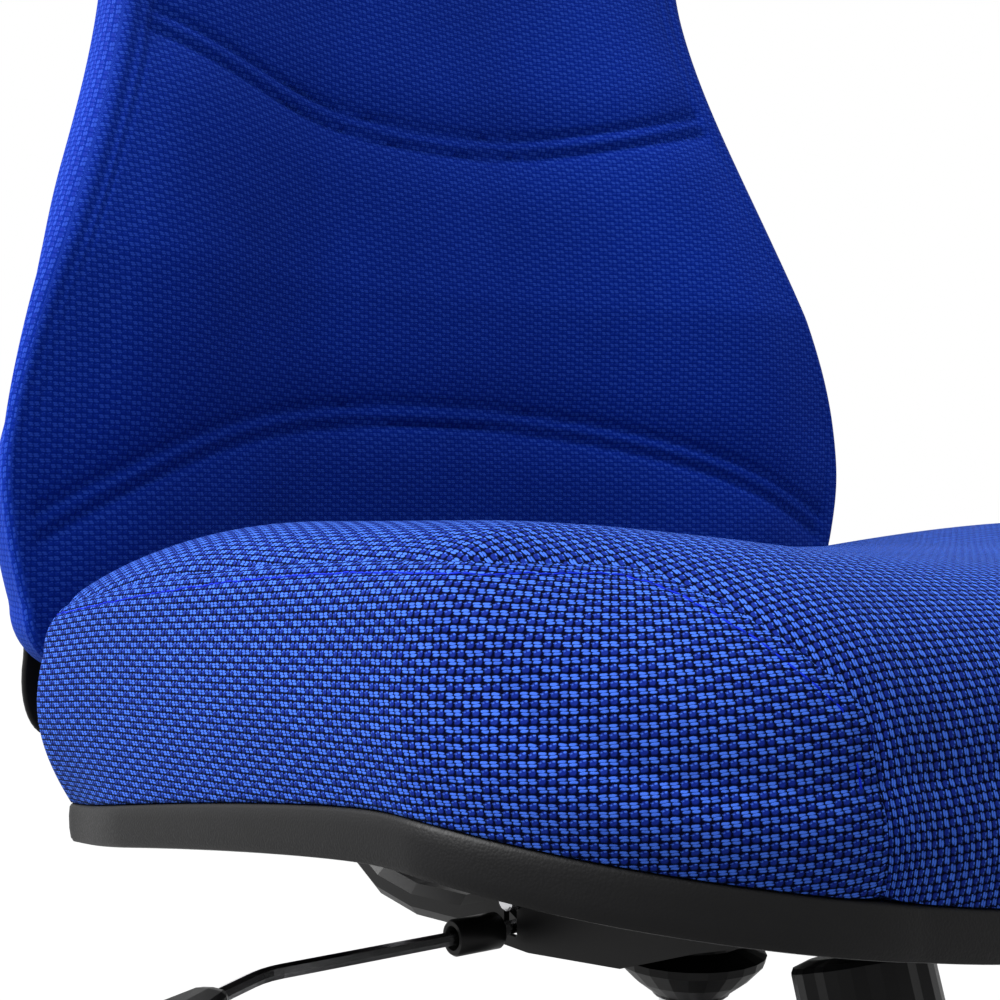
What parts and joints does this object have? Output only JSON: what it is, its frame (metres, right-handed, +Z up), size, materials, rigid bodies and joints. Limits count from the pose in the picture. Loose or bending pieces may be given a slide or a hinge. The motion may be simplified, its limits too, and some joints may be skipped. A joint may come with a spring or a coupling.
{
  "type": "swivel office chair",
  "caption": "High-back office chair with a blue woven padded seat and back, a tilting mechanism, a gas lift and a star base on castors.",
  "frame": {"origin": "on the floor, at the centre of the plan box of the whole chair", "axes": "+Z up, the sitter faces -Y, and the sitter's left is +X"},
  "size_m": [0.682, 0.6811, 1.065],
  "materials": {
    "black_plastic": "finely grained black moulding",
    "black_steel": "satin black powder coat",
    "bright_steel": "bright plated steel",
    "blue_fabric": "coarse two-tone blue weave",
    "wheel_rubber": "matte dark grey tread",
    "red_nylon": "plain moulding"
  },
  "bodies": {
    "base": {"star_base": "black_plastic", "column_tube": "black_steel", "guide_bush": "black_plastic", "thrust_bearing": "bright_steel", "castor_1_stem": "bright_steel", "castor_2_stem": "bright_steel", "castor_3_stem": "bright_steel", "castor_4_stem": "bright_steel", "castor_5_stem": "bright_steel"},
    "lift_rod": {"piston_rod": "bright_steel", "retaining_clip": "bright_steel"},
    "chassis": {"gas_cylinder": "bright_steel", "mechanism_housing": "black_steel", "rear_pivot_pin": "bright_steel", "front_pivot_pin": "bright_steel", "tension_spring": "bright_steel"},
    "height_lever": {"height_lever_rod": "bright_steel", "height_lever_paddle": "black_plastic"},
    "release_button": {"release_button": "red_nylon"},
    "tilt_lever": {"tilt_lever_rod": "bright_steel", "tilt_lever_paddle": "black_plastic"},
    "tension_knob": {"tension_knob": "black_plastic", "tension_bolt": "bright_steel"},
    "seat": {"seat_bracket": "black_steel", "seat_bolt_1": "bright_steel", "seat_bolt_2": "bright_steel", "seat_bolt_3": "bright_steel", "seat_bolt_4": "bright_steel", "seat_shell": "black_plastic", "seat_cushion": "blue_fabric"},
    "back_bar": {"back_bar": "black_steel"},
    "back": {"back_carrier": "black_plastic", "back_bolt_1": "bright_steel", "back_bolt_2": "bright_steel", "back_shell": "black_plastic", "back_cushion": "blue_fabric"},
    "castor_1": {"castor_1_hood": "black_plastic", "castor_1_axle": "bright_steel"},
    "castor_1_left": {"castor_1_wheel_left": "wheel_rubber"},
    "castor_1_right": {"castor_1_wheel_right": "wheel_rubber"},
    "castor_2": {"castor_2_hood": "black_plastic", "castor_2_axle": "bright_steel"},
    "castor_2_left": {"castor_2_wheel_left": "wheel_rubber"},
    "castor_2_right": {"castor_2_wheel_right": "wheel_rubber"},
    "castor_3": {"castor_3_hood": "black_plastic", "castor_3_axle": "bright_steel"},
    "castor_3_left": {"castor_3_wheel_left": "wheel_rubber"},
    "castor_3_right": {"castor_3_wheel_right": "wheel_rubber"},
    "castor_4": {"castor_4_hood": "black_plastic", "castor_4_axle": "bright_steel"},
    "castor_4_left": {"castor_4_wheel_left": "wheel_rubber"},
    "castor_4_right": {"castor_4_wheel_right": "wheel_rubber"},
    "castor_5": {"castor_5_hood": "black_plastic", "castor_5_axle": "bright_steel"},
    "castor_5_left": {"castor_5_wheel_left": "wheel_rubber"},
    "castor_5_right": {"castor_5_wheel_right": "wheel_rubber"}
  },
  "joints": [
    {"name": "swivel", "type": "hinge", "parent": "base", "child": "lift_rod", "pos_m": [0, 0.0095, 0.1], "axis": [0, 0, 1], "continuous": true},
    {"name": "seat_height", "type": "slide", "parent": "lift_rod", "child": "chassis", "axis": [0, 0, 1], "range_m": [-0.05, 0.06]},
    {"name": "height_lever_lift", "type": "hinge", "parent": "chassis", "child": "height_lever", "pos_m": [-0.055, 0.0675, 0.3235], "axis": [0, 1, 0], "range_deg": [0, 5], "stiffness_Nm_per_rad": 2, "springref_deg": -2.86},
    {"name": "release_press", "type": "slide", "parent": "chassis", "child": "release_button", "axis": [0, 0, -1], "range_m": [0, 0.0054]},
    {"name": "tilt_lock", "type": "hinge", "parent": "chassis", "child": "tilt_lever", "pos_m": [0.055, 0.0675, 0.3235], "axis": [0, -1, 0], "range_deg": [0, 8]},
    {"name": "tension_turn", "type": "hinge", "parent": "chassis", "child": "tension_knob", "pos_m": [0, -0.0855, 0.339], "axis": [0, -0.2924, -0.9563], "continuous": true},
    {"name": "back_recline", "type": "hinge", "parent": "chassis", "child": "back_bar", "pos_m": [0, 0.0645, 0.337], "axis": [-1, 0, 0], "range_deg": [0, 18], "stiffness_Nm_per_rad": 120, "springref_deg": -20.05},
    {"name": "seat_tilt", "type": "hinge", "parent": "chassis", "child": "seat", "pos_m": [0, -0.1065, 0.365], "axis": [-1, 0, 0], "range_deg": [0, 4.5]},
    {"name": "back_height", "type": "slide", "parent": "back_bar", "child": "back", "axis": [0, 0.1386, 0.9903], "range_m": [0, 0.06]},
    {"name": "castor_1_swivel", "type": "hinge", "parent": "base", "child": "castor_1", "pos_m": [0, -0.2925, 0.06], "axis": [0, 0, 1], "continuous": true},
    {"name": "castor_1_roll_left", "type": "hinge", "parent": "castor_1", "child": "castor_1_left", "pos_m": [0, -0.3115, 0.025], "axis": [1, 0, 0], "continuous": true},
    {"name": "castor_1_roll_right", "type": "hinge", "parent": "castor_1", "child": "castor_1_right", "pos_m": [0, -0.3115, 0.025], "axis": [1, 0, 0], "continuous": true},
    {"name": "castor_2_swivel", "type": "hinge", "parent": "base", "child": "castor_2", "pos_m": [0.28722, -0.08382, 0.06], "axis": [0, 0, 1], "continuous": true},
    {"name": "castor_2_roll_left", "type": "hinge", "parent": "castor_2", "child": "castor_2_left", "pos_m": [0.30507, -0.07733, 0.025], "axis": [-0.342, 0.9397, 0], "continuous": true},
    {"name": "castor_2_roll_right", "type": "hinge", "parent": "castor_2", "child": "castor_2_right", "pos_m": [0.30507, -0.07733, 0.025], "axis": [-0.342, 0.9397, 0], "continuous": true},
    {"name": "castor_3_swivel", "type": "hinge", "parent": "base", "child": "castor_3", "pos_m": [0.17751, 0.25382, 0.06], "axis": [0, 0, 1], "continuous": true},
    {"name": "castor_3_roll_left", "type": "hinge", "parent": "castor_3", "child": "castor_3_left", "pos_m": [0.1965, 0.25449, 0.025], "axis": [-0.0349, 0.9994, 0], "continuous": true},
    {"name": "castor_3_roll_right", "type": "hinge", "parent": "castor_3", "child": "castor_3_right", "pos_m": [0.1965, 0.25449, 0.025], "axis": [-0.0349, 0.9994, 0], "continuous": true},
    {"name": "castor_4_swivel", "type": "hinge", "parent": "base", "child": "castor_4", "pos_m": [-0.17751, 0.25382, 0.06], "axis": [0, 0, 1], "continuous": true},
    {"name": "castor_4_roll_left", "type": "hinge", "parent": "castor_4", "child": "castor_4_left", "pos_m": [-0.1965, 0.25449, 0.025], "axis": [-0.0349, -0.9994, 0], "continuous": true},
    {"name": "castor_4_roll_right", "type": "hinge", "parent": "castor_4", "child": "castor_4_right", "pos_m": [-0.1965, 0.25449, 0.025], "axis": [-0.0349, -0.9994, 0], "continuous": true},
    {"name": "castor_5_swivel", "type": "hinge", "parent": "base", "child": "castor_5", "pos_m": [-0.28722, -0.08382, 0.06], "axis": [0, 0, 1], "continuous": true},
    {"name": "castor_5_roll_left", "type": "hinge", "parent": "castor_5", "child": "castor_5_left", "pos_m": [-0.30507, -0.07733, 0.025], "axis": [-0.342, -0.9397, 0], "continuous": true},
    {"name": "castor_5_roll_right", "type": "hinge", "parent": "castor_5", "child": "castor_5_right", "pos_m": [-0.30507, -0.07733, 0.025], "axis": [-0.342, -0.9397, 0], "continuous": true}
  ],
  "couplings": [
    {"joint": "seat_tilt", "follows": "back_recline", "ratio": 0.25},
    {"joint": "release_press", "follows": "height_lever_lift", "m_per_rad": 0.058}
  ]
}
